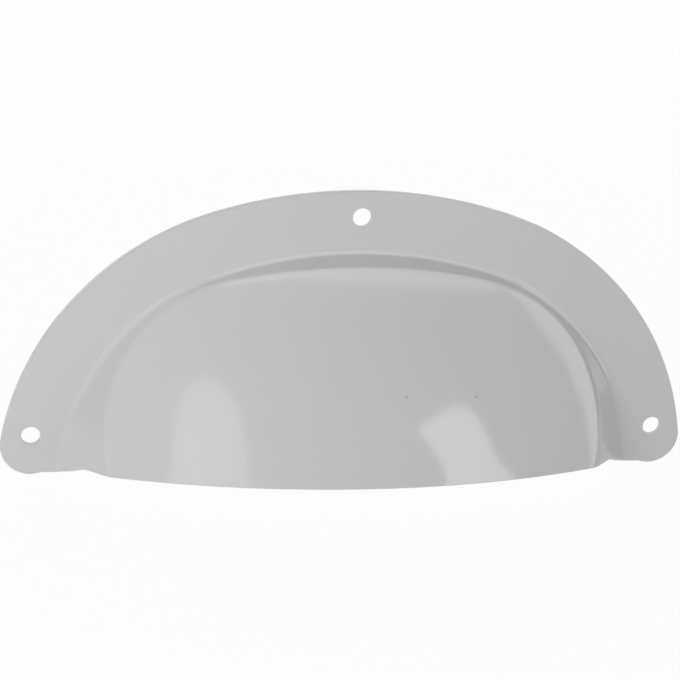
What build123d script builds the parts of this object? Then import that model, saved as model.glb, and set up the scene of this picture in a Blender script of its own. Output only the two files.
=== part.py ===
from build123d import *

from math import cos, radians, sqrt, tan
from os import makedirs

# Cup pull handle (half-moon bin pull), pressed from one sheet of steel.
# Millimetres.  +Z is up, the back plane is y = 0 and the hood stands out towards -Y.
# The origin is midway between the two ear screw holes, on the back plane.

# --- Driving dimensions -------------------------------------------------------------------
sheet = 1.0                   # thickness of the pressed sheet

screw_spacing = 96.0          # between the two ear screw holes
screw_hole_diameter = 2.8     # all three screw holes
top_screw_margin = 4.0        # top screw hole below the top of the flange

rise = 37.6                   # top of the flange above the line of the ear holes
top_arc_radius = 73.0         # flat arc over the top of the flange
side_arc_radius = 44.3        # rounder arc down each side
ear_radius = 4.5              # round end of each ear
ear_drop = 6.1                # lowest point of the ears below the ear holes
ledge_rise = 0.25             # straight bottom edge of the flange above the ears' lowest point

flange_width = 9.0            # outline to the foot of the wall, on the front face
wall_draft = 40.0             # lean of the wall inwards, degrees from square
bend_radius = 1.6             # hollow bend between flange and wall, front side

projection = 16.5             # middle of the lip in front of the back plane
shoulder_depth = 3.6          # top of the wall in front of the back plane, at the middle
shoulder_radius = 4.0         # round between wall and front panel, outside
crown_fall = 10.6             # front panel, falling back from its middle to the hood's sides
bow_radius = 160.0            # front panel, curved from top to lip

wall_climb = 27.0             # bottom edge of the wall climbs away from the flange, degrees
wall_reach = 5.0              # depth at which that climb ends
lip_tilt = 3.7                # the rest of the bottom edge climbs to the lip, degrees

edge_break = 0.2              # cut edge of the flange is broken by this much, front side

# --- Sizes that follow --------------------------------------------------------------------
half_spacing = screw_spacing / 2
lean = tan(radians(wall_draft))     # inward run of the wall for each millimetre of depth
foot_inset = flange_width - sheet * lean
ledge_drop = ear_drop - ledge_rise  # straight bottom edge of the flange below the ear holes
heel_drop = ledge_drop - (wall_reach - sheet) * tan(radians(wall_climb))
lip_drop = heel_drop - (projection - wall_reach) * tan(radians(lip_tilt))
spare = projection + ear_radius     # sheet drawn below the lip, cut away at the end

top_centre = Vector(0, rise - top_arc_radius)
ear_centre = Vector(half_spacing, ear_radius - ear_drop)
ear_end = half_spacing - sqrt(ear_radius**2 - (ear_radius - ledge_rise) ** 2)


def circle_crossing(centre_a: Vector, radius_a: float, centre_b: Vector, radius_b: float) -> Vector:
    """Return the upper of the two points where two circles cross."""
    gap = (centre_b - centre_a).length
    along = (gap**2 + radius_a**2 - radius_b**2) / (2 * gap)
    aside = sqrt(radius_a**2 - along**2)
    ahead = (centre_b - centre_a).normalized()
    return centre_a + ahead * along + Vector(-ahead.Y, ahead.X) * aside


# The side arc runs smoothly into both the top arc and the round end of the ear.
side_centre = circle_crossing(
    top_centre, top_arc_radius - side_arc_radius, ear_centre, side_arc_radius - ear_radius
)


def beyond(centre: Vector, through: Vector, radius: float) -> Vector:
    """Return the point at a radius from a centre, in the direction of another point."""
    return centre + (through - centre).normalized() * radius


def mirrored(points: list) -> list:
    """Return the points reflected left to right."""
    return [Vector(-point.X, point.Y) for point in points]


def outline(inset: float, foot: Vector, ear: list, low: Vector) -> Face:
    """Return a half-moon face, square to the back plane and symmetric left to right.

    The top and side arcs are moved inwards by the inset and end at the foot.  The points of
    an ear arc may follow, and straight legs run from there down to the low corners.
    """
    crest = top_centre + Vector(0, top_arc_radius - inset)
    joint = beyond(top_centre, side_centre, top_arc_radius - inset)
    flank = beyond(side_centre, (joint + foot) / 2, side_arc_radius - inset)
    arcs = [[joint, flank, foot]]
    if ear:
        arcs.append(ear)
    leg = [arcs[-1][-1], low]
    curves = [ThreePointArc(*mirrored([joint]), crest, joint)]
    for points in arcs:
        curves += [ThreePointArc(*points), ThreePointArc(*mirrored(points))]
    curves += [Line(*leg), Line(*mirrored(leg)), Line(low, *mirrored([low]))]
    return Plane.XZ * Face(Wire(curves))


def flange_outline() -> Face:
    """Outline of the flange with its round ears, and spare sheet below between them."""
    foot = beyond(side_centre, ear_centre, side_arc_radius)
    ear = [foot, ear_centre - Vector(0, ear_radius), Vector(ear_end, -ledge_drop)]
    low = Vector(ear_end, -ledge_drop - spare - flange_width)
    return outline(0, foot, ear, low)


def blank_outline(inset: float) -> Face:
    """Outline without ears, running straight down past the lip: the blank, or the hood's foot."""
    foot = side_centre + Vector(side_arc_radius - inset, 0)
    return outline(inset, foot, [], Vector(foot.X, -ledge_drop - spare))


def crown(inset: float) -> Part:
    """Body behind the doubly curved front panel, its surface moved inwards by the inset."""
    # Side view, as (y, z): the panel runs from the shoulder down to the lip.
    shoulder = Vector(-shoulder_depth, rise - foot_inset - shoulder_depth * lean)
    lip = Vector(-projection, -lip_drop)
    middle = (shoulder + lip) / 2
    half = (shoulder - lip) / 2
    up = half.normalized()
    inwards = Vector(up.Y, -up.X)
    sag = bow_radius - sqrt(bow_radius**2 - half.length**2)
    reach = half * 3
    peak = middle - inwards * (sag - inset)
    fall = bow_radius - inset - sqrt((bow_radius - inset) ** 2 - reach.length**2)
    ends = [peak + inwards * fall - reach, peak + inwards * fall + reach]
    half_width = side_centre.X + side_arc_radius - flange_width
    crown_radius = (half_width**2 + crown_fall**2) / (2 * crown_fall)
    hub = middle + inwards * (crown_radius - sag)
    bow = ThreePointArc(ends[0], peak, ends[1])
    back = Polyline(ends[1], hub + reach, hub - reach, ends[0])
    axis = Axis((0, hub.X, hub.Y), (0, up.X, up.Y))
    profile = Plane.YZ * Face(Wire([bow] + back.edges()))
    return revolve(profile.rotate(axis, -90), axis, revolution_arc=180)


def hood(wall_inset: float, panel_inset: float) -> Part:
    """Hood as a solid body: leaning wall all round, closed by the front panel."""
    wall = extrude(blank_outline(wall_inset), projection + spare / 2, dir=(0, -1, 0), taper=wall_draft)
    body = wall & crown(panel_inset)
    panel = body.faces().sort_by(Axis.Y)[0]
    shoulder = panel.edges().sort_by(Axis.Z)[1:]
    return fillet(shoulder, shoulder_radius - panel_inset)


def edges_at(body: Part, depth: float, face: Face, on_rim: bool) -> ShapeList:
    """Edges of one flange face: those on the rim of its outline, or those inside it."""
    rim = (Pos(0, -depth, 0) * face).outer_wire()
    level = body.edges().filter_by(Plane.XZ).filter_by_position(Axis.Y, -depth, -depth)
    lowest = body.bounding_box().min.Z
    level = level.filter_by(lambda edge: (edge @ 0.5).Z > lowest + sheet / 2)
    return level.filter_by(lambda edge: (rim.distance_to(edge @ 0.5) < 0.01) == on_rim)


# One pressed sheet: a blank a little wider than the flange, and the hood, hollowed from
# behind by the same hood one sheet in.
blank = blank_outline(-sheet)
cup = extrude(blank, sheet, dir=(0, -1, 0))
cup += hood(foot_inset, 0)
cup -= hood(foot_inset + sheet / cos(radians(wall_draft)), sheet)
cup = split(cup, Plane.XY.offset(-ledge_drop - ear_radius), keep=Keep.TOP)
cup = fillet(edges_at(cup, sheet, blank, on_rim=False), bend_radius)
cup = fillet(edges_at(cup, 0, blank, on_rim=False), bend_radius + sheet)

# The flange is cut to its outline, and the bottom is cut off: level across the flange, up
# along the wall, and nearly level from the heel of the wall to the lip.
deep = 2 * spare
cup &= extrude(flange_outline(), deep, dir=(0, -1, 0))
past_lip = (-projection - spare, spare * tan(radians(lip_tilt)) - lip_drop)
cut = Polyline(
    (sheet, -ledge_drop),
    (-sheet, -ledge_drop),
    (-wall_reach, -heel_drop),
    past_lip,
    (past_lip[0], -deep),
    (sheet, -deep),
    close=True,
)
cup -= extrude(Plane.YZ * Face(Wire(cut)), ear_end, both=True)

# The cut edge of the flange is broken on the front side.
cup = chamfer(edges_at(cup, sheet, flange_outline(), on_rim=True), edge_break)

# Three screw holes are drilled square through the flange.
drill = Plane.XZ * Cylinder(screw_hole_diameter / 2, 4 * sheet)
for x, z in ((-half_spacing, 0), (half_spacing, 0), (0, rise - top_screw_margin)):
    cup -= Pos(x, 0, z) * drill

makedirs("parts", exist_ok=True)
export_step(cup, "parts/cup_shell.step")
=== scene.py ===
"""Half-moon cup pull for a drawer: pressed sheet steel with a light grey powder coat.

The pull is one closed shell.  Its front and back skins are worked out from the same press
form, and a rounded band closes them along the cut edge and in the screw holes.
"""

import logging
import math
from dataclasses import dataclass
from enum import Enum
from typing import Sequence

import bpy
import numpy as np
from mathutils import Matrix, Vector
from mathutils.geometry import delaunay_2d_cdt


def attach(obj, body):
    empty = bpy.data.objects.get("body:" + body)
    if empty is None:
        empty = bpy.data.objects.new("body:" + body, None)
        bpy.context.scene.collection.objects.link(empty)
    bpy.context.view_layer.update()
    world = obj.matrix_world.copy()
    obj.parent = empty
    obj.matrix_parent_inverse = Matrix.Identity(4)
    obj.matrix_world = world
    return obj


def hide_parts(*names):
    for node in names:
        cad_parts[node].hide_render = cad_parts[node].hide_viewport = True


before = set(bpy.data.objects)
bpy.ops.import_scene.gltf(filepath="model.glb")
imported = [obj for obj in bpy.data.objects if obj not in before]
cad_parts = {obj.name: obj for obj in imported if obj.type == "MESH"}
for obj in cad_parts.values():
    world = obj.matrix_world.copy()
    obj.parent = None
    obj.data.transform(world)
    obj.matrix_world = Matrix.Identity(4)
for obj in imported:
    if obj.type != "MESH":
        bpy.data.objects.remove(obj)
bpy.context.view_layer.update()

LOG = logging.getLogger("cup_pull")
MM = 0.001
MIX_A, MIX_B, MIX_RESULT = 6, 7, 2  # sockets of a Mix node that is set to colours
WINDOW_AWAY = 1.2


class Skin(Enum):
    """The two faces of the sheet."""

    FRONT = 0
    BACK = 1


# --- Small helpers ------------------------------------------------------------------------


def linear(hex_colour: str) -> tuple[float, float, float, float]:
    """Turn an sRGB hex value into a linear colour.

    Args:
        hex_colour: Six hex digits, such as "C4C4C4".

    Returns:
        Linear red, green, blue and an alpha of 1.
    """
    parts = [int(hex_colour[i : i + 2], 16) / 255 for i in (0, 2, 4)]
    line = [c / 12.92 if c <= 0.04045 else ((c + 0.055) / 1.055) ** 2.4 for c in parts]
    return line[0], line[1], line[2], 1.0


def node(tree: bpy.types.NodeTree, kind: str, settings: dict, links: dict) -> bpy.types.Node:
    """Add one node with its settings and the links into it.

    Args:
        tree: Node tree that takes the node.
        kind: Blender's name of the node type.
        settings: Property names, or input names, with their values.
        links: Input names with the output sockets that feed them.

    Returns:
        The new node.
    """
    made = tree.nodes.new(kind)
    for name, value in settings.items():
        if hasattr(made, name) and name not in made.inputs:
            setattr(made, name, value)
        else:
            made.inputs[name].default_value = value
    for name, source in links.items():
        tree.links.new(source, made.inputs[name])
    return made


def unit(vectors: np.ndarray) -> np.ndarray:
    """Return rows of vectors scaled to a length of 1."""
    return vectors / np.maximum(np.linalg.norm(vectors, axis=-1, keepdims=True), 1e-12)


def soft_most(a: np.ndarray, b: np.ndarray, reach: float) -> np.ndarray:
    """Greater of two heights, with a smooth hollow where they cross.

    max(a, b) + reach * h^2 / 4, where h = max(reach - |a - b|, 0) / reach.
    """
    h = np.maximum(reach - np.abs(a - b), 0) / reach
    return np.maximum(a, b) + reach * h**2 / 4


# --- Shape of the press form --------------------------------------------------------------


@dataclass(frozen=True)
class HalfMoon:
    """Outline of the pull seen square on, in millimetres: x to the right and z up.

    A flat arc over the top runs into a rounder arc down each side and then into a round ear
    under each end screw hole.
    """

    hole_spacing: float = 96.0
    rise: float = 37.6
    top_radius: float = 73.0
    side_radius: float = 44.3
    ear_radius: float = 4.5
    ear_drop: float = 6.1
    ledge_rise: float = 0.25

    @property
    def top_centre(self) -> np.ndarray:
        """Centre of the arc over the top."""
        return np.array([0.0, self.rise - self.top_radius])

    @property
    def ear_centre(self) -> np.ndarray:
        """Centre of the round ear on the right."""
        return np.array([self.hole_spacing / 2, self.ear_radius - self.ear_drop])

    @property
    def ledge_drop(self) -> float:
        """Straight bottom edge of the flange below the line of the end holes."""
        return self.ear_drop - self.ledge_rise

    @property
    def side_centre(self) -> np.ndarray:
        """Centre of the right-hand side arc, which touches the top arc and the ear.

        It lies where a circle of top_radius - side_radius about the top centre crosses one
        of side_radius - ear_radius about the ear centre.

        Returns:
            x and z of the centre.
        """
        across = self.ear_centre - self.top_centre
        gap = float(np.hypot(*across))
        near, far = self.top_radius - self.side_radius, self.side_radius - self.ear_radius
        along = (gap**2 + near**2 - far**2) / (2 * gap)
        aside = math.sqrt(near**2 - along**2)
        ahead = across / gap
        return self.top_centre + ahead * along + np.array([-ahead[1], ahead[0]]) * aside

    @property
    def joint_turn(self) -> float:
        """Angle from upright at which the top arc gives way to the side arc."""
        across = self.side_centre - self.top_centre
        return math.atan2(across[0], across[1])

    @property
    def ear_turn(self) -> float:
        """Angle from upright at which the side arc gives way to the ear."""
        across = self.ear_centre - self.side_centre
        return math.atan2(across[0], across[1])

    def arch(self, inset: np.ndarray | float, turn: np.ndarray) -> tuple[np.ndarray, np.ndarray]:
        """Points on the arch moved inwards by an inset, on the right-hand side.

        Args:
            inset: Distance in from the outline.
            turn: Angle of the arc's radius from upright.

        Returns:
            x and z, which are centre + (radius - inset) * (sin turn, cos turn).
        """
        top = turn < self.joint_turn
        radius = np.where(top, self.top_radius, self.side_radius) - inset
        centre_x = np.where(top, self.top_centre[0], self.side_centre[0])
        centre_z = np.where(top, self.top_centre[1], self.side_centre[1])
        return centre_x + radius * np.sin(turn), centre_z + radius * np.cos(turn)

    def inset(self, x: np.ndarray, z: np.ndarray) -> np.ndarray:
        """Distance of points in from the arch: arc radius less distance from its centre.

        Args:
            x: Places from side to side.
            z: Heights.

        Returns:
            Distances, positive inside the outline.
        """
        x = np.abs(x)
        top = np.arctan2(x, z - self.top_centre[1]) < self.joint_turn
        from_top = self.top_radius - np.hypot(x, z - self.top_centre[1])
        from_side = self.side_radius - np.hypot(x - self.side_centre[0], z - self.side_centre[1])
        return np.where(top, from_top, from_side)

    def outwards(self, x: np.ndarray, z: np.ndarray) -> tuple[np.ndarray, np.ndarray]:
        """Unit direction from the centre of each point's arc out to the point.

        Args:
            x: Places from side to side.
            z: Heights.

        Returns:
            x and z of the directions.
        """
        top = np.arctan2(np.abs(x), z - self.top_centre[1]) < self.joint_turn
        from_x = np.where(top, x, x - np.sign(x) * self.side_centre[0])
        from_z = z - np.where(top, self.top_centre[1], self.side_centre[1])
        length = np.maximum(np.hypot(from_x, from_z), 1e-9)
        return from_x / length, from_z / length

    def rim(self, inset: float, count: int) -> np.ndarray:
        """Edge of the flange from the right-hand notch over the top to the left-hand one.

        Args:
            inset: Distance in from the cut edge.
            count: Number of points on each half.

        Returns:
            Rows of x, z.
        """
        ear = self.ear_radius - inset
        fall = self.ledge_drop - inset + self.ear_centre[1]
        end_turn = 2 * math.pi - math.acos(-fall / ear)
        lengths = [
            self.top_radius * self.joint_turn,
            self.side_radius * (self.ear_turn - self.joint_turn),
            self.ear_radius * (end_turn - self.ear_turn),
        ]
        stops = np.cumsum([0.0] + lengths) / sum(lengths)
        way = np.linspace(0, 1, count)
        turn = np.interp(way, stops, [0.0, self.joint_turn, self.ear_turn, end_turn])
        x, z = self.arch(inset, turn)
        on_ear = turn > self.ear_turn
        x = np.where(on_ear, self.ear_centre[0] + ear * np.sin(turn), x)
        z = np.where(on_ear, self.ear_centre[1] + ear * np.cos(turn), z)
        half = np.column_stack([x, z])
        return np.concatenate([half[::-1], half[1:] * [-1, 1]])


@dataclass(frozen=True)
class PressForm:
    """Depth of the sheet in front of the back plane, in millimetres.

    The flange is flat, the wall leans inwards all round, and the front panel is part of a
    torus that is crowned from side to side and bowed from top to lip.
    """

    outline: HalfMoon = HalfMoon()
    sheet: float = 1.0
    flange_width: float = 9.0
    wall_draft: float = 40.0
    projection: float = 16.5
    shoulder_depth: float = 3.6
    crown_fall: float = 10.6
    bow_radius: float = 160.0
    wall_climb: float = 27.0
    wall_reach: float = 5.0
    lip_tilt: float = 3.7
    foot_reach: tuple[float, float] = (0.74, 1.2)
    shoulder_round: tuple[float, float] = (4.0, 3.0)
    depth_tries: int = 16
    depth_stride: float = 1.25
    edge_tries: int = 14

    @property
    def lean(self) -> float:
        """Inward run of the wall for each millimetre of depth."""
        return math.tan(math.radians(self.wall_draft))

    @property
    def foot_on_plane(self) -> float:
        """Inset at which the front of the wall, run on, meets the back plane."""
        return self.flange_width - self.sheet * self.lean

    def foot(self, skin: Skin) -> float:
        """Inset at which the wall leaves the flange.

        Args:
            skin: Front or back of the sheet.

        Returns:
            Distance in from the outline.
        """
        if skin is Skin.FRONT:
            return self.flange_width
        return self.foot_on_plane + self.sheet / math.cos(math.radians(self.wall_draft))

    def flat(self, skin: Skin) -> float:
        """Depth of the flange on one skin."""
        return self.sheet if skin is Skin.FRONT else 0.0

    def panel_gap(
        self, x: np.ndarray, depth: np.ndarray, z: np.ndarray, skin: Skin
    ) -> tuple[np.ndarray, np.ndarray]:
        """Distance of points in front of the crowned front panel.

        The panel is a torus whose tube has bow_radius and whose outer rim lies crown_radius
        from its axis.  With a along the axis and r out from it, the distance is
        hypot(r - crown_radius + bow_radius, a) - tube.

        Args:
            x: Places from side to side.
            depth: Places in front of the back plane.
            z: Heights.
            skin: Front or back of the sheet.

        Returns:
            Distances, and the panel's outward normals there.
        """
        wall_top = self.foot_on_plane + self.shoulder_depth * self.lean
        shoulder = np.array([-self.shoulder_depth, self.outline.rise - wall_top])
        lip = np.array([-self.projection, self.cut_line(self.projection)])
        half = (shoulder - lip) / 2
        up = half / np.hypot(*half)
        inwards = np.array([up[1], -up[0]])
        sag = self.bow_radius - math.sqrt(self.bow_radius**2 - float(half @ half))
        width = self.outline.side_centre[0] + self.outline.side_radius - self.flange_width
        crown_radius = (width**2 + self.crown_fall**2) / (2 * self.crown_fall)
        hub = (shoulder + lip) / 2 + inwards * (crown_radius - sag)
        tube = self.bow_radius - (0.0 if skin is Skin.FRONT else self.sheet)
        y = -depth - hub[0]
        a = y * up[0] + (z - hub[1]) * up[1]
        b = -y * inwards[0] - (z - hub[1]) * inwards[1]
        r = np.hypot(x, b)
        q = r - (crown_radius - self.bow_radius)
        whole = np.hypot(q, a)
        out, along, over = q / whole, a / whole, b / r
        normal = np.stack(
            [
                out * x / r,
                along * up[0] - out * over * inwards[0],
                along * up[1] - out * over * inwards[1],
            ],
            axis=-1,
        )
        return whole - tube, normal

    def depth(self, x: np.ndarray, z: np.ndarray, skin: Skin) -> np.ndarray:
        """Depth of one skin: flange, leaning wall and crowned panel, with rounded crossings.

        The shoulder is a ball of radius R rolled inside wall and panel.  With u and v the
        heights of a point above its centre along the two normals, which have the cosine c
        between them, the round is sqrt((u^2 + v^2 - 2uvc) / (1 - c^2)) = R.  Its depth is
        found by stepping back along the distance until nothing is left.

        Args:
            x: Places from side to side.
            z: Heights.
            skin: Front or back of the sheet.

        Returns:
            Depths in front of the back plane.
        """
        flat, ball = self.flat(skin), self.shoulder_round[skin.value]
        draft = math.radians(self.wall_draft)
        wall = flat + (self.outline.inset(x, z) - self.foot(skin)) / self.lean
        out_x, out_z = self.outline.outwards(x, z)
        depth = np.minimum(wall, self.projection)
        for _ in range(self.depth_tries):
            wall_gap = (depth - wall) * math.sin(draft)
            gap, normal = self.panel_gap(x, depth, z, skin)
            c = (out_x * normal[..., 0] + out_z * normal[..., 2]) * math.cos(draft)
            c = np.clip(c - math.sin(draft) * normal[..., 1], -0.999, 0.9995)
            u, v = wall_gap + ball, gap + ball
            curve = np.sqrt(np.maximum(u * u + v * v - 2 * u * v * c, 0) / (1 - c * c)) - ball
            round_here = (u > v * c) & (v > u * c)
            left = np.where(round_here, curve, np.maximum(wall_gap, gap))
            depth = depth - self.depth_stride * left
        return soft_most(depth, np.full(np.shape(x), flat), self.foot_reach[skin.value])

    def normal(self, x: np.ndarray, z: np.ndarray, skin: Skin) -> np.ndarray:
        """Outward normal of one skin, (depth_x, 1, depth_z) made a unit and turned outwards.

        Args:
            x: Places from side to side.
            z: Heights.
            skin: Front or back of the sheet.

        Returns:
            Unit normals, one for each place.
        """
        step = 0.01
        depth_x = (self.depth(x + step, z, skin) - self.depth(x - step, z, skin)) / (2 * step)
        depth_z = (self.depth(x, z + step, skin) - self.depth(x, z - step, skin)) / (2 * step)
        way = unit(np.stack([depth_x, np.ones_like(depth_x), depth_z], axis=-1))
        return -way if skin is Skin.FRONT else way

    def cut_line(self, depth: np.ndarray | float) -> np.ndarray | float:
        """Height of the cut bottom edge at a depth.

        It is level across the flange, climbs along the wall and is nearly level from the heel
        of the wall to the lip.

        Args:
            depth: Depth in front of the back plane.

        Returns:
            The height z.
        """
        on_wall = np.clip(depth, self.sheet, self.wall_reach) - self.sheet
        on_panel = np.maximum(depth, self.wall_reach) - self.wall_reach
        steep = math.tan(math.radians(self.wall_climb))
        gentle = math.tan(math.radians(self.lip_tilt))
        return on_wall * steep + on_panel * gentle - self.outline.ledge_drop


# --- The pressed shell --------------------------------------------------------------------


def trimmed(form: PressForm, x: np.ndarray, skin: Skin, lift: float) -> np.ndarray:
    """Height of the cut bottom edge over each x, found by repeating z = cut_line(depth(x, z)).

    Args:
        form: Press form that gives the depths.
        x: Places along the edge.
        skin: Front or back of the sheet.
        lift: Distance above the cut edge.

    Returns:
        z of the edge at each x.
    """
    z = np.full(np.shape(x), -form.outline.ledge_drop + lift)
    for _ in range(form.edge_tries):
        z = form.cut_line(form.depth(x, z, skin)) + lift
    return z


def inside(points: np.ndarray, starts: np.ndarray, ends: np.ndarray) -> np.ndarray:
    """Tell which points lie inside closed loops, by counting the edges above each point.

    Args:
        points: Rows of x, z.
        starts: First ends of all edges of the loops.
        ends: Second ends of the same edges.

    Returns:
        True where the count of edges crossed on the way up is odd.
    """
    px, pz = points[:, :1], points[:, 1:]
    spans = (starts[:, 0] > px) != (ends[:, 0] > px)
    run = np.where(ends[:, 0] == starts[:, 0], 1.0, ends[:, 0] - starts[:, 0])
    height = starts[:, 1] + (px - starts[:, 0]) / run * (ends[:, 1] - starts[:, 1])
    return (np.count_nonzero(spans & (height > pz), axis=1) % 2) == 1


def quads(index: np.ndarray, closed: bool = False) -> np.ndarray:
    """Return the four corners of every cell in a grid of vertex numbers.

    Args:
        index: Grid of vertex numbers.
        closed: Whether the last column joins the first.

    Returns:
        Rows of four vertex numbers.
    """
    if closed:
        index = np.concatenate([index, index[:, :1]], axis=1)
    cells = [index[:-1, :-1], index[:-1, 1:], index[1:, 1:], index[1:, :-1]]
    return np.stack([cell.ravel() for cell in cells], axis=1)


class Patchwork:
    """Vertices, normals and faces of a closed shell, gathered patch by patch."""

    def __init__(self) -> None:
        """Start with nothing gathered."""
        self.points: list[np.ndarray] = []
        self.normals: list[np.ndarray] = []
        self.faces: list[np.ndarray] = []
        self.count = 0

    def add(self, points: np.ndarray, normals: np.ndarray) -> np.ndarray:
        """Add vertices.

        Args:
            points: Any array of x, y, z.
            normals: Outward normals at the points.

        Returns:
            Their numbers, in the shape of the array.
        """
        shape = points.shape[:-1]
        self.points.append(points.reshape(-1, 3))
        self.normals.append(normals.reshape(-1, 3))
        numbers = self.count + np.arange(int(np.prod(shape))).reshape(shape)
        self.count += numbers.size
        return numbers

    def cover(self, faces: np.ndarray) -> None:
        """Add rows of three or four vertex numbers as faces."""
        self.faces.append(faces)

    def mesh(self, name: str) -> bpy.types.Mesh:
        """Join equal points, turn every face outwards and make the mesh.

        A face is turned round where its cross product opposes the sum of its normals.

        Args:
            name: Name of the mesh.

        Returns:
            The mesh, with its normals set.
        """
        points, normals = np.concatenate(self.points), np.concatenate(self.normals)
        # Adding zero turns -0.0 into 0.0, so that the two count as equal.
        places = np.round(points, 6) + 0.0
        _, first, number = np.unique(places, axis=0, return_index=True, return_inverse=True)
        number = number.ravel()
        points, normals = points[first], normals[first]
        rows: list[list[int]] = []
        for faces in self.faces:
            faces = number[faces]
            corner = points[faces]
            across = np.cross(corner[:, 2] - corner[:, 0], corner[:, -1] - corner[:, 1])
            against = np.sum(across * normals[faces].sum(axis=1), axis=1) < 0
            faces[against] = faces[against][:, ::-1]
            rows += faces.tolist()
        mesh = bpy.data.meshes.new(name)
        mesh.from_pydata((points * MM).tolist(), [], rows)
        mesh.polygons.foreach_set("use_smooth", np.ones(len(mesh.polygons), dtype=bool))
        mesh.update()
        mesh.normals_split_custom_set_from_vertices(normals.tolist())
        return mesh


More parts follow.
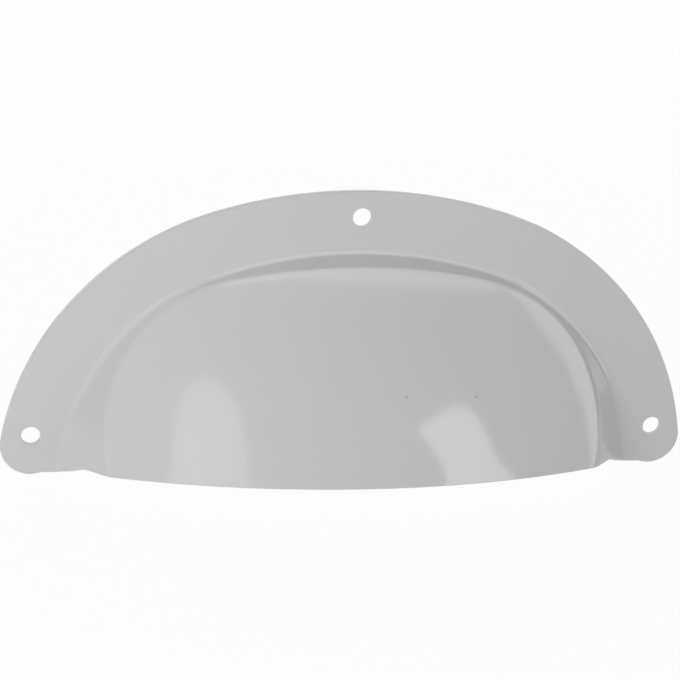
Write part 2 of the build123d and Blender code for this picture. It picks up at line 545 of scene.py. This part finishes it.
@dataclass
class PressedShell:
    """The pull itself: one pressed sheet with three drilled holes and softened edges."""

    form: PressForm = PressForm()
    hole_diameter: float = 2.8
    top_hole_margin: float = 4.0
    edge_round: float = 0.16
    columns: int = 150
    level_stops: tuple[float, ...] = (10.0, 14.0, 17.5)
    level_counts: tuple[int, ...] = (14, 22, 6)
    panel_rows: int = 44
    panel_half_width: float = 24.0
    rim_points: int = 200
    hole_points: int = 72
    ledge_points: int = 4
    round_steps: int = 5

    def hood_grid(self, skin: Skin, lift: float) -> np.ndarray:
        """Plan of the hood on one skin, as rows of x, z.

        The first rows are level curves of the outline, whose ends run down to the cut edge.
        The rest run from the last level curve to the lip in straight lines of (x, height
        above the cut edge).

        Args:
            skin: Front or back of the sheet.
            lift: Distance of the lowest points above the cut edge.

        Returns:
            Array of rows, columns and x, z.
        """
        form, line = self.form, self.form.outline
        start = form.foot(skin) - form.foot_reach[skin.value] * form.lean
        stops = [start, *self.level_stops]
        spans = zip(stops, stops[1:], self.level_counts)
        levels = [np.linspace(a, b, n, endpoint=False) for a, b, n in spans]
        inset = np.append(np.concatenate(levels), stops[-1])[:, None]
        z_end = np.full_like(inset, -line.ledge_drop + lift)
        for _ in range(form.edge_tries):
            end = np.arccos((z_end - line.side_centre[1]) / (line.side_radius - inset))
            x_end, z_try = line.arch(inset, end)
            z_end = form.cut_line(form.depth(x_end, z_try, skin)) + lift
        way = np.linspace(0, 1, self.columns + 1)
        top_run = line.top_radius * line.joint_turn
        side_run = line.side_radius * (end - line.joint_turn)
        joint = top_run / (top_run + side_run)
        turn = np.where(
            way < joint,
            way / joint * line.joint_turn,
            line.joint_turn + (way - joint) / (1 - joint) * (end - line.joint_turn),
        )
        x, z = line.arch(inset, turn)
        x = np.concatenate([-x[:, :0:-1], x], axis=1)
        z = np.concatenate([z[:, :0:-1], z], axis=1)
        above = z[-1] - trimmed(form, x[-1], skin, lift)
        above[[0, -1]] = 0
        lip = np.linspace(-self.panel_half_width, self.panel_half_width, x.shape[1])
        down = np.linspace(0, 1, self.panel_rows + 1)[1:, None]
        panel_x = (1 - down) * x[-1] + down * lip
        panel_z = trimmed(form, panel_x, skin, lift) + (1 - down) * above
        return np.stack([np.concatenate([x, panel_x]), np.concatenate([z, panel_z])], axis=-1)

    def edge_loop(self, grid: np.ndarray, inset: float) -> np.ndarray:
        """Closed loop round the sheet: rim, ledge, hood edge and ledge, as rows of x, z.

        Args:
            grid: Plan of the hood with the same lift as the inset.
            inset: Distance in from the cut edge.

        Returns:
            Rows of x, z.
        """
        rim = self.form.outline.rim(inset, self.rim_points)
        part = np.linspace(0, 1, self.ledge_points + 2)[1:-1, None]
        left = rim[-1] * (1 - part) + grid[0, 0] * part
        right = grid[0, -1] * (1 - part) + rim[0] * part
        hood = [grid[:, 0], grid[-1, 1:-1], grid[::-1, -1]]
        return np.concatenate([rim, left, *hood, right])

    def hole_loops(self, radius: float) -> list[np.ndarray]:
        """Loops round the three screw holes.

        Args:
            radius: Radius of the loops.

        Returns:
            Rows of x, z for each hole.
        """
        turn = np.linspace(0, 2 * math.pi, self.hole_points, endpoint=False)
        half = self.form.outline.hole_spacing / 2
        top = self.form.outline.rise - self.top_hole_margin
        ring = radius * np.column_stack([np.cos(turn), np.sin(turn)])
        return [ring + place for place in ((-half, 0), (half, 0), (0, top))]

    def lay(self, plan: np.ndarray, skin: Skin) -> tuple[np.ndarray, np.ndarray]:
        """Put plan points on a skin.

        Args:
            plan: Array of x, z.
            skin: Front or back of the sheet.

        Returns:
            Points (x, -depth, z) and their outward normals.
        """
        x, z = plan[..., 0], plan[..., 1]
        points = np.stack([x, -self.form.depth(x, z, skin), z], axis=-1)
        return points, self.form.normal(x, z, skin)

    def flange(self, work: Patchwork, grid: np.ndarray, loop: np.ndarray, skin: Skin) -> None:
        """Fill the flat flange between its edge, the foot of the hood and the screw holes.

        The fill is a Delaunay net held to those lines, and a triangle is kept where its
        middle lies inside them.

        Args:
            work: Patchwork that takes the faces.
            grid: Plan of the hood.
            loop: Closed loop round the sheet.
            skin: Front or back of the sheet.
        """
        rim_count = 2 * self.rim_points - 1
        outer = np.concatenate(
            [
                loop[: rim_count + self.ledge_points],
                grid[0],
                loop[len(loop) - self.ledge_points :],
            ]
        )
        loops = [outer, *self.hole_loops(self.hole_diameter / 2 + self.edge_round)]
        plan = np.concatenate(loops)
        after = np.concatenate([np.roll(one, -1, axis=0) for one in loops])
        offsets = np.cumsum([0] + [len(one) for one in loops[:-1]])
        edges = np.concatenate(
            [
                offset + np.column_stack([np.arange(len(one)), np.roll(np.arange(len(one)), -1)])
                for offset, one in zip(offsets, loops)
            ]
        )
        net = delaunay_2d_cdt([Vector(row) for row in plan.tolist()], edges.tolist(), [], 0, 1e-9)
        places = np.array([(v.x, v.y) for v in net[0]])
        triangles = np.array(net[2])
        keep = inside(places[triangles].mean(axis=1), plan, after)
        origin = np.array([ids[0] for ids in net[3]])
        points, normals = self.lay(plan, skin)
        numbers = work.add(points, normals)
        work.cover(numbers[origin[triangles[keep]]])

    def band(
        self, work: Patchwork, inner: Sequence[np.ndarray], corner: Sequence[np.ndarray]
    ) -> None:
        """Close the sheet along a loop: a round on each side and a straight cut between.

        A round is the curve (1-t)^2 P + 2t(1-t) C + t^2 Q from the skin point P, with the
        sharp corner C, to the point Q one round's width down the cut face.

        Args:
            work: Patchwork that takes the faces.
            inner: Loops of x, z on the front and back skins, one round's width in.
            corner: The same loops at the sharp corners.
        """
        part = np.linspace(0, 1, self.round_steps + 1)[:, None, None]
        sharp = [self.lay(plan, skin)[0] for plan, skin in zip(corner, Skin)]
        through = unit(sharp[1] - sharp[0])
        blocks, turns = [], []
        for skin, plan in zip(Skin, inner):
            point, normal = self.lay(plan, skin)
            c = sharp[skin.value]
            q = c + through * self.edge_round * (1 if skin is Skin.FRONT else -1)
            curve = (1 - part) ** 2 * point + 2 * part * (1 - part) * c + part**2 * q
            out = unit(c - point)
            side = unit(out - through * np.sum(out * through, axis=-1, keepdims=True))
            turn = unit((1 - part) * normal + part * side)
            blocks.append(curve if skin is Skin.FRONT else curve[::-1])
            turns.append(turn if skin is Skin.FRONT else turn[::-1])
        # The ends are laid anew, so that they meet the skins to the last digit.
        blocks[0][0] = self.lay(inner[0], Skin.FRONT)[0]
        blocks[1][-1] = self.lay(inner[1], Skin.BACK)[0]
        numbers = work.add(np.concatenate(blocks), np.concatenate(turns))
        work.cover(quads(numbers, closed=True))

    def build(self) -> bpy.types.Object:
        """Build the closed shell.

        Returns:
            The object, at the origin and in metres.
        """
        work = Patchwork()
        soft, hard = self.edge_round, 0.0
        grids = {skin: [self.hood_grid(skin, lift) for lift in (soft, hard)] for skin in Skin}
        loops = {
            skin: [self.edge_loop(grid, lift) for grid, lift in zip(pair, (soft, hard))]
            for skin, pair in grids.items()
        }
        for skin in Skin:
            numbers = work.add(*self.lay(grids[skin][0], skin))
            work.cover(quads(numbers))
            self.flange(work, grids[skin][0], loops[skin][0], skin)
        self.band(work, [loops[s][0] for s in Skin], [loops[s][1] for s in Skin])
        radius = self.hole_diameter / 2
        for ring, edge in zip(self.hole_loops(radius + soft), self.hole_loops(radius)):
            self.band(work, [ring, ring], [edge, edge])
        pull = bpy.data.objects.new("pressed_shell", work.mesh("pressed_shell"))
        bpy.context.scene.collection.objects.link(pull)
        return pull


# --- Finish -------------------------------------------------------------------------------


@dataclass(frozen=True)
class PowderCoat:
    """Light grey polyester powder coat, sprayed dry on steel and baked to a semi-gloss skin.

    It gives one even tone, soft-edged reflections and a faint orange peel from the flow of
    the melted powder.
    """

    colour: str = "C4C4C4"
    paler: str = "C8C8C8"
    roughness: float = 0.08
    roughness_spread: float = 0.02
    ior: float = 1.5
    wave_mm: float = 13.0
    wave_height_mm: float = 0.03
    peel_mm: float = 2.2
    peel_height_mm: float = 0.002
    cloud_mm: float = 26.0
    gloss_mm: float = 26.0 / 6
    nib_colour: str = "9A9896"
    nib_radius_mm: float = 0.11
    nibs: tuple[tuple[float, float, float], ...] = ((5.9, -11.7, 9.4), (16.8, -10.5, 8.9))

    def material(self) -> bpy.types.Material:
        """Build the material.

        Returns:
            A material on Object coordinates, with every pattern's size in millimetres.
        """
        made = bpy.data.materials.new("powder_coated_steel")
        made.use_nodes = True
        tree = made.node_tree
        tree.nodes.clear()
        place = node(tree, "ShaderNodeTexCoord", {}, {}).outputs["Object"]

        def noise(size_mm: float, detail: float) -> bpy.types.NodeSocket:
            """Return a noise whose lumps are the given size apart."""
            settings = {"Scale": 1 / (size_mm * MM), "Detail": detail, "Roughness": 0.5}
            return node(tree, "ShaderNodeTexNoise", settings, {"Vector": place}).outputs["Fac"]

        # Slow drift in the thickness of the coat: a barely seen change of tone.
        tone = node(tree, "ShaderNodeMix", {"data_type": "RGBA"}, {})
        tone.inputs[MIX_A].default_value = linear(self.colour)
        tone.inputs[MIX_B].default_value = linear(self.paler)
        tree.links.new(noise(self.cloud_mm, 2.0), tone.inputs[0])
        colour = tone.outputs[MIX_RESULT]

        # Dust nibs baked into the coat.
        for nib in self.nibs:
            gap = node(tree, "ShaderNodeVectorMath", {"operation": "DISTANCE"}, {"Vector": place})
            gap.inputs[1].default_value = [c * MM for c in nib]
            speck = node(
                tree,
                "ShaderNodeMapRange",
                {
                    "From Min": self.nib_radius_mm * MM,
                    "From Max": self.nib_radius_mm * MM * 2,
                    "To Min": 1.0,
                    "To Max": 0.0,
                },
                {"Value": gap.outputs["Value"]},
            )
            blend = node(tree, "ShaderNodeMix", {"data_type": "RGBA"}, {})
            tree.links.new(speck.outputs["Result"], blend.inputs[0])
            tree.links.new(colour, blend.inputs[MIX_A])
            blend.inputs[MIX_B].default_value = linear(self.nib_colour)
            colour = blend.outputs[MIX_RESULT]

        # Where the coat flowed out less, its gloss is a little lower.
        gloss = node(
            tree,
            "ShaderNodeMapRange",
            {
                "From Min": 0.3,
                "From Max": 0.7,
                "To Min": self.roughness - self.roughness_spread / 2,
                "To Max": self.roughness + self.roughness_spread / 2,
            },
            {"Value": noise(self.gloss_mm, 3.0)},
        ).outputs["Result"]

        # The pressed sheet is a little wavy, and the coat's orange peel lies on top.
        wave = node(
            tree,
            "ShaderNodeBump",
            {"Strength": 1.0, "Distance": self.wave_height_mm * MM},
            {"Height": noise(self.wave_mm, 0.0)},
        ).outputs["Normal"]
        skin = node(
            tree,
            "ShaderNodeBump",
            {"Strength": 1.0, "Distance": self.peel_height_mm * MM},
            {"Height": noise(self.peel_mm, 1.0), "Normal": wave},
        ).outputs["Normal"]
        shader = node(
            tree,
            "ShaderNodeBsdfPrincipled",
            {"IOR": self.ior, "Metallic": 0.0},
            {"Base Color": colour, "Roughness": gloss, "Normal": skin},
        )
        node(tree, "ShaderNodeOutputMaterial", {}, {"Surface": shader.outputs["BSDF"]})
        return made


# --- Studio -------------------------------------------------------------------------------


@dataclass(frozen=True)
class Softbox:
    """A rectangular lamp: where it hangs, where it points, its size in metres and power.

    Gloss doesn't show it.
    """

    name: str
    place: tuple[float, float, float]
    target: tuple[float, float, float]
    width: float
    height: float
    watts: float

    def hang(self) -> bpy.types.Object:
        """Hang the lamp.

        Returns:
            The lamp's object.
        """
        lamp = bpy.data.lights.new(self.name, "AREA")
        lamp.shape = "RECTANGLE"
        lamp.size, lamp.size_y, lamp.energy = self.width, self.height, self.watts
        hung = bpy.data.objects.new(self.name, lamp)
        hung.location = self.place
        aim = Vector(self.target) - Vector(self.place)
        hung.rotation_euler = aim.to_track_quat("-Z", "Y").to_euler()
        hung.visible_glossy = False
        bpy.context.scene.collection.objects.link(hung)
        return hung


@dataclass(frozen=True)
class Card:
    """A flat card beside the pull: bright as a window, or dark as a flag.

    The camera sees every card as plain white; all other light meets its own strength.
    Gloss shows every card. Matt surfaces are lit or shaded only by a card that is "matt".
    """

    name: str
    corners: tuple[tuple[float, float, float], ...]
    strength: float
    matt: bool = False

    def hang(self) -> bpy.types.Object:
        """Hang the card.

        Returns:
            The card's object.
        """
        mesh = bpy.data.meshes.new(self.name)
        mesh.from_pydata(list(self.corners), [], [tuple(range(len(self.corners)))])
        card = bpy.data.materials.new("lit_card")
        card.use_nodes = True
        tree = card.node_tree
        tree.nodes.clear()
        path = node(tree, "ShaderNodeLightPath", {}, {})
        level = node(
            tree,
            "ShaderNodeMapRange",
            {"To Min": self.strength, "To Max": 1.0},
            {"Value": path.outputs["Is Camera Ray"]},
        )
        glow = node(
            tree,
            "ShaderNodeEmission",
            {"Color": (1, 1, 1, 1)},
            {"Strength": level.outputs["Result"]},
        )
        node(tree, "ShaderNodeOutputMaterial", {}, {"Surface": glow.outputs[0]})
        mesh.materials.append(card)
        hung = bpy.data.objects.new(self.name, mesh)
        hung.visible_diffuse = self.matt
        bpy.context.scene.collection.objects.link(hung)
        return hung


def window(name: str, corners: Sequence[tuple[float, float]], strength: float) -> Card:
    """Make a bright card that fills given directions as seen from the pull.

    A corner lies WINDOW_AWAY metres off, at (sin a cos e, -cos a cos e, sin e).

    Args:
        name: Name of the card.
        corners: Azimuth, rightwards from straight ahead, and elevation of each corner, in degrees.
        strength: Brightness, where 1 is white.

    Returns:
        The card.
    """
    places = []
    for across, over in np.radians(np.array(corners)):
        way = (np.sin(across) * np.cos(over), -np.cos(across) * np.cos(over), np.sin(over))
        places.append(tuple(float(WINDOW_AWAY * c) for c in way))
    return Card(name, tuple(places), strength)


def seen(tree: bpy.types.NodeTree, share: float) -> bpy.types.NodeSocket:
    """Return a share for rays that see the background directly, in gloss or through glass.

    Args:
        tree: Node tree that takes the nodes.
        share: Value where the ray is one of these.

    Returns:
        Socket of the value, 0 for all other rays.
    """
    path = node(tree, "ShaderNodeLightPath", {}, {})
    total = path.outputs["Is Camera Ray"]
    for name in ("Is Glossy Ray", "Is Transmission Ray"):
        add = node(tree, "ShaderNodeMath", {"operation": "MAXIMUM"}, {})
        tree.links.new(total, add.inputs[0])
        tree.links.new(path.outputs[name], add.inputs[1])
        total = add.outputs[0]
    scaled = node(tree, "ShaderNodeMath", {"operation": "MULTIPLY"}, {})
    tree.links.new(total, scaled.inputs[0])
    scaled.inputs[1].default_value = share
    return scaled.outputs[0]


@dataclass
class Studio:
    """Camera, pale floor and white surround, with a soft lamp, windows and dark flags."""

    target_mm: tuple[float, float, float] = (-2.31, -1.0, 14.62)
    distance_mm: float = 320.0
    swing_deg: float = 11.443
    climb_deg: float = 19.0
    roll_deg: float = 3.28
    lens_mm: float = 113.35
    floor_mm: float = -6.1
    floor_half_m: float = 1.5
    floor_colour: str = "F4F4F4"
    floor_glow: float = 0.96
    surround: float = 1.1
    surround_lean: tuple[float, float, float] = (0.1, -0.2, -0.88)
    lamps: tuple[Softbox | Card, ...] = ()

    def camera(self) -> bpy.types.Object:
        """Set up the camera.

        It looks at the target from the swing and climb angles, and then rolls about its
        line of sight.

        Returns:
            The camera's object, which is also made the scene's camera.
        """
        swing, climb = math.radians(self.swing_deg), math.radians(self.climb_deg)
        away = math.cos(climb)
        out = Vector((-math.sin(swing) * away, -math.cos(swing) * away, math.sin(climb)))
        right = (-out).cross(Vector((0, 0, 1))).normalized()
        up = right.cross(-out)
        roll = math.radians(self.roll_deg)
        rolled_right = right * math.cos(roll) + up * math.sin(roll)
        rolled_up = up * math.cos(roll) - right * math.sin(roll)
        turn = Matrix((rolled_right, rolled_up, out)).transposed().to_4x4()
        lens = bpy.data.cameras.new("camera")
        lens.lens = self.lens_mm
        lens.sensor_width = 36.0
        lens.clip_start = 0.01
        made = bpy.data.objects.new("camera", lens)
        place = (Vector(self.target_mm) + out * self.distance_mm) * MM
        made.matrix_world = Matrix.Translation(place) @ turn
        bpy.context.scene.collection.objects.link(made)
        bpy.context.scene.camera = made
        return made

    def floor(self) -> bpy.types.Object:
        """Lay the floor, a pale sheet that also keeps the shadow.

        Returns:
            The floor's object.
        """
        half, z = self.floor_half_m, self.floor_mm * MM
        corners = [(-half, -half, z), (half, -half, z), (half, half, z), (-half, half, z)]
        mesh = bpy.data.meshes.new("floor")
        mesh.from_pydata(corners, [], [(0, 1, 2, 3)])
        paper = bpy.data.materials.new("matt_paper_sweep")
        paper.use_nodes = True
        tree = paper.node_tree
        tree.nodes.clear()
        shade = node(
            tree, "ShaderNodeBsdfDiffuse", {"Color": linear(self.floor_colour)}, {}
        )
        glow = node(tree, "ShaderNodeEmission", {"Color": (1, 1, 1, 1), "Strength": 1.0}, {})
        both = node(tree, "ShaderNodeMixShader", {}, {"Fac": seen(tree, self.floor_glow)})
        tree.links.new(shade.outputs[0], both.inputs[1])
        tree.links.new(glow.outputs[0], both.inputs[2])
        node(tree, "ShaderNodeOutputMaterial", {}, {"Surface": both.outputs[0]})
        mesh.materials.append(paper)
        laid = bpy.data.objects.new("floor", mesh)
        bpy.context.scene.collection.objects.link(laid)
        return laid

    def world(self) -> None:
        """Surround the scene with white.

        Its strength is 1 where it is seen.  On matt surfaces it is surround + way . lean for
        each way out, so that the light can be stronger from one side than from another.
        """
        world = bpy.data.worlds.new("white_surround")
        world.use_nodes = True
        tree = world.node_tree
        tree.nodes.clear()
        way = node(tree, "ShaderNodeTexCoord", {}, {}).outputs["Generated"]
        lean = node(tree, "ShaderNodeVectorMath", {"operation": "DOT_PRODUCT"}, {})
        tree.links.new(way, lean.inputs[0])
        lean.inputs[1].default_value = self.surround_lean
        soft = node(tree, "ShaderNodeMath", {"operation": "ADD"}, {})
        tree.links.new(lean.outputs["Value"], soft.inputs[0])
        soft.inputs[1].default_value = self.surround
        level = node(
            tree, "ShaderNodeMapRange", {"To Max": 1.0}, {"To Min": soft.outputs[0]}
        )
        tree.links.new(seen(tree, 1.0), level.inputs["Value"])
        glow = node(
            tree,
            "ShaderNodeBackground",
            {"Color": (1, 1, 1, 1)},
            {"Strength": level.outputs["Result"]},
        )
        node(tree, "ShaderNodeOutputWorld", {}, {"Surface": glow.outputs[0]})
        bpy.context.scene.world = world

    def set_up(self) -> None:
        """Set up the camera, the floor, the surround and the lamps."""
        self.camera()
        self.floor()
        self.world()
        for lamp in self.lamps:
            lamp.hang()
            LOG.info("lamp %s hung", lamp.name)
        bpy.context.scene.view_settings.view_transform = "Standard"


STUDIO = Studio(
    lamps=(
        Softbox(
            "left_softbox",
            place=(-0.17, -0.19, 0.05),
            target=(0, 0, 0.015),
            width=0.12,
            height=0.12,
            watts=0.2,
        ),
        window(
            "left_window",
            ((-29.5, 2), (-13.5, 2), (-13.5, 15), (-15, 21), (-19, 25), (-25, 26), (-29.5, 22)),
            2.6,
        ),
        window(
            "right_window",
            (
                *((28.5, 2), (43.5, 2), (43.5, 8.5), (40, 11.5)),
                *((36.5, 18.5), (32, 20.5), (23, 18.5), (28, 13)),
            ),
            4.0,
        ),
        window(
            "side_window",
            (
                *((62, -4), (82, -4), (82, 12), (72, 32), (62, 38)),
                *((51, 31), (56, 24), (60, 18), (62, 11)),
            ),
            3.1,
        ),
        window(
            "top_window",
            (
                *((-28, 44), (-15, 41.5), (11, 39.5), (29, 36.5), (48, 31)),
                *((60, 38), (75, 62), (0, 70), (-40, 62)),
            ),
            2.7,
        ),
        window("low_window", ((-50, -1), (-50, 8), (-66, 14), (-84, 9), (-84, -1)), 1.3),
        Card(
            "back_card",
            ((-0.6, 0.6, 0.05), (0.6, 0.6, 0.05), (0.6, 0.6, 0.55), (-0.6, 0.6, 0.55)),
            1.6,
            matt=True,
        ),
        Card(
            "top_flag",
            ((-0.75, -0.17, 0.6), (1.4, -0.17, 0.6), (1.4, 0.35, 0.6), (-0.75, 0.35, 0.6)),
            0.0,
            matt=True,
        ),
        Card(
            "right_flag",
            ((0.62, -0.12, 0), (0.62, 0.7, 0), (0.62, 0.7, 0.6), (0.62, -0.12, 0.6)),
            0.35,
        ),
        Card(
            "left_flag",
            ((-0.5, -0.17, -0.006), (-0.5, 0.7, -0.006), (-0.5, 0.7, 0.6), (-0.5, -0.17, 0.6)),
            0.4,
        ),
    ),
)


def main() -> None:
    """Build the pull, dress it, and set up the studio round it."""
    logging.basicConfig(level=logging.INFO, format="%(name)s: %(message)s")
    STUDIO.set_up()
    pull = PressedShell().build()
    pull.data.materials.append(PowderCoat().material())
    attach(pull, "root")
    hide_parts("cup_shell")
    LOG.info("%s: %d faces", pull.name, len(pull.data.polygons))
    bpy.context.view_layer.update()


if __name__ == "__main__":
    main()
